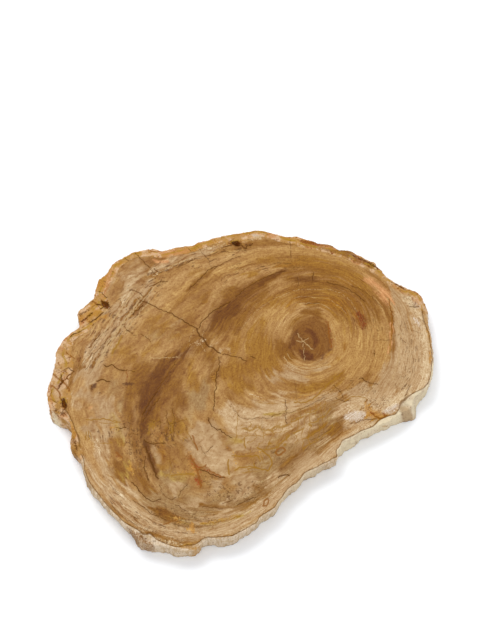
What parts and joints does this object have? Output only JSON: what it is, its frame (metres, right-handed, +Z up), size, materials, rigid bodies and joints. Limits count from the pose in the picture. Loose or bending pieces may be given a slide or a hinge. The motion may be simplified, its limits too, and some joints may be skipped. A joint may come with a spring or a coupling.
{
  "type": "petrified wood platter",
  "caption": "Flat slab sawn across a petrified tree trunk, polished on its faces, with its natural rough bark edge left all round.",
  "frame": {"origin": "on the underside's plane, under the middle of the slab's bounding box", "axes": "+X along the slab's longest side, +Z up, out of the polished serving face; the foot of the outline that the picture shows nearest points to -Y"},
  "size_m": [0.3793, 0.3533, 0.02],
  "materials": {
    "petrified_wood": "polished agatised wood on both faces, with tan, brown and cream growth rings, fine cracks and rust stains; rough unpolished bark on the edge"
  },
  "bodies": {
    "root": {"petrified_wood_slab": "petrified_wood"}
  },
  "joints": []
}
